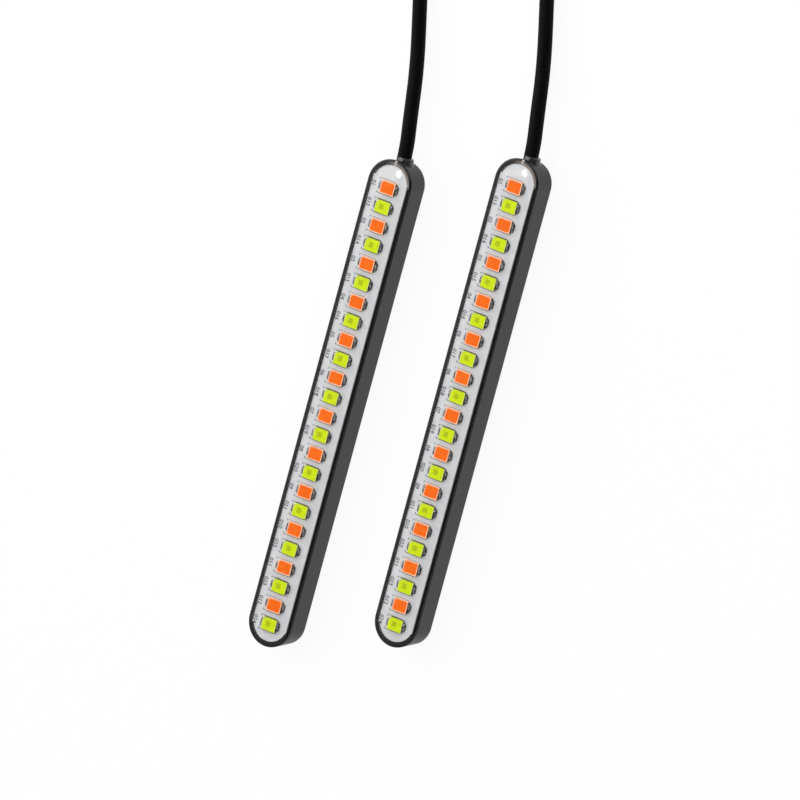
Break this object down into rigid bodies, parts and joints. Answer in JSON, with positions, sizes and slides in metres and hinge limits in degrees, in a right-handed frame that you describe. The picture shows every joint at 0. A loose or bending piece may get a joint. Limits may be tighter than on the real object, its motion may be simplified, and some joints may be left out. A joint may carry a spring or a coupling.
{
  "type": "led turn signal strips",
  "caption": "Slim potted LED turn signal strips: black trays with round ends, amber and white lamps in turn under clear resin, adhesive backs and flying leads.",
  "frame": {"origin": "on the floor, under the middle of the pair of housings", "axes": "+X across the strips, +Y along them towards the leads, +Z out of the lit faces"},
  "size_m": [0.0522, 0.2178, 0.0074],
  "materials": {
    "black_housing": "satin black moulding",
    "white_board": "white solder mask",
    "led_frame": "pale package plastic",
    "amber_window": "amber filling",
    "white_window": "yellow-green phosphor filling",
    "solder": "bright solder",
    "resistor": "black chip",
    "wire_jacket": "thin insulation",
    "clear_resin": "clear and glossy",
    "seal_glue": "glossy dark glue",
    "foam": "fine foam",
    "liner": "red release film",
    "cable_jacket": "satin black jacket",
    "tie": "black band",
    "tinned_tip": "tinned strands",
    "yellow_jacket": "yellow insulation",
    "black_jacket": "black insulation",
    "white_jacket": "white insulation"
  },
  "bodies": {
    "root": {"left_housing": "black_housing", "left_circuit_board": "white_board", "left_amber_led_frames": "led_frame", "left_amber_led_windows": "amber_window", "left_white_led_frames": "led_frame", "left_white_led_windows": "white_window", "left_solder_joints": "solder", "left_resistors": "resistor", "left_board_wires": "wire_jacket", "left_clear_potting": "clear_resin", "left_cable_seal": "seal_glue", "left_foam_tape": "foam", "left_tape_liner": "liner", "left_cable": "cable_jacket", "left_cable_hank": "cable_jacket", "left_cable_tie": "tie", "left_core_tips": "tinned_tip", "left_yellow_core": "yellow_jacket", "left_black_core": "black_jacket", "left_white_core": "white_jacket", "right_housing": "black_housing", "right_circuit_board": "white_board", "right_amber_led_frames": "led_frame", "right_amber_led_windows": "amber_window", "right_white_led_frames": "led_frame", "right_white_led_windows": "white_window", "right_solder_joints": "solder", "right_resistors": "resistor", "right_board_wires": "wire_jacket", "right_clear_potting": "clear_resin", "right_cable_seal": "seal_glue", "right_foam_tape": "foam", "right_tape_liner": "liner", "right_cable": "cable_jacket", "right_cable_hank": "cable_jacket", "right_cable_tie": "tie", "right_core_tips": "tinned_tip", "right_yellow_core": "yellow_jacket", "right_black_core": "black_jacket", "right_white_core": "white_jacket"}
  },
  "joints": []
}
